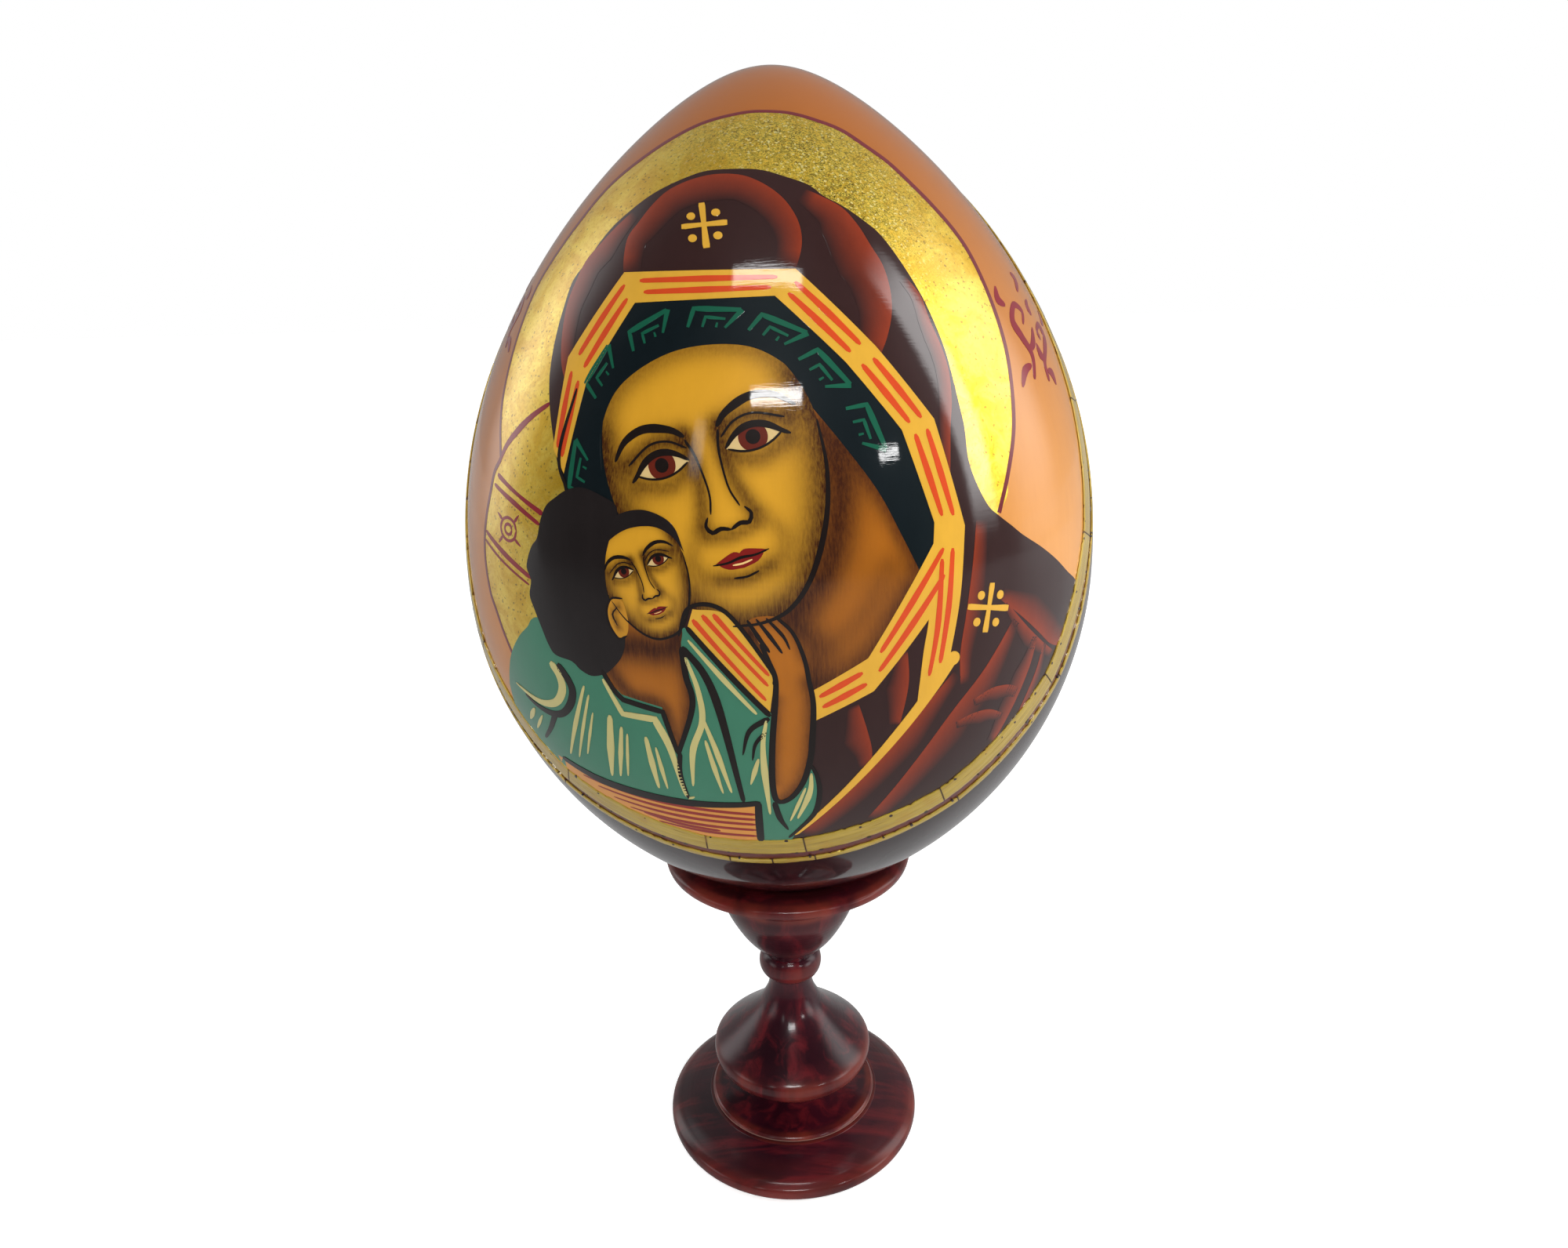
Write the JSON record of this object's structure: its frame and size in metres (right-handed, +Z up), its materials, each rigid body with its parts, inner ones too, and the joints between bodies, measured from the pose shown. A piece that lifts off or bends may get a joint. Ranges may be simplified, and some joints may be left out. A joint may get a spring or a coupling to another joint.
{
  "type": "painted wooden egg on a stand",
  "caption": "Large turned and lacquered wooden egg with a painted medallion and straw borders, lifting off a turned baluster stand.",
  "frame": {"origin": "centre of the base disc's underside, on the table", "axes": "+Z up along the turning axis; -Y is the painted front; +X is the viewer's right"},
  "size_m": [0.132, 0.1322, 0.245],
  "materials": {
    "egg_lacquer": "gloss lacquer over orange and black-maroon paint",
    "bare_wood": "bare turned dowel",
    "stand_wood": "mahogany stain under gloss lacquer",
    "gold_leaf": "gold leaf under gloss lacquer",
    "straw": "flattened golden straw under gloss lacquer"
  },
  "bodies": {
    "stand": {"base_disc": "stand_wood", "turned_stem": "stand_wood", "saucer": "stand_wood"},
    "dowel": {"locating_dowel": "bare_wood"},
    "egg": {"egg_body": "egg_lacquer", "gold_leaf_oval": "gold_leaf", "wide_straw_1": "straw", "wide_straw_2": "straw", "wide_straw_3": "straw", "wide_straw_4": "straw", "wide_straw_5": "straw", "wide_straw_6": "straw", "wide_straw_7": "straw", "wide_straw_8": "straw", "wide_straw_9": "straw", "wide_straw_10": "straw", "wide_straw_11": "straw", "wide_straw_12": "straw", "wide_straw_13": "straw", "wide_straw_14": "straw", "wide_straw_15": "straw", "thin_straw_1": "straw", "thin_straw_2": "straw", "thin_straw_3": "straw", "thin_straw_4": "straw", "thin_straw_5": "straw", "thin_straw_6": "straw", "thin_straw_7": "straw", "thin_straw_8": "straw", "thin_straw_9": "straw", "thin_straw_10": "straw", "thin_straw_11": "straw", "thin_straw_12": "straw", "thin_straw_13": "straw", "thin_straw_14": "straw", "thin_straw_15": "straw", "thin_straw_16": "straw"}
  },
  "joints": [
    {"name": "egg_spin", "type": "hinge", "parent": "stand", "child": "dowel", "pos_m": [0, 0, 0.075], "axis": [0, 0, 1], "continuous": true},
    {"name": "egg_lift", "type": "slide", "parent": "dowel", "child": "egg", "axis": [0, 0, 1], "range_m": [0, 0.06]}
  ]
}
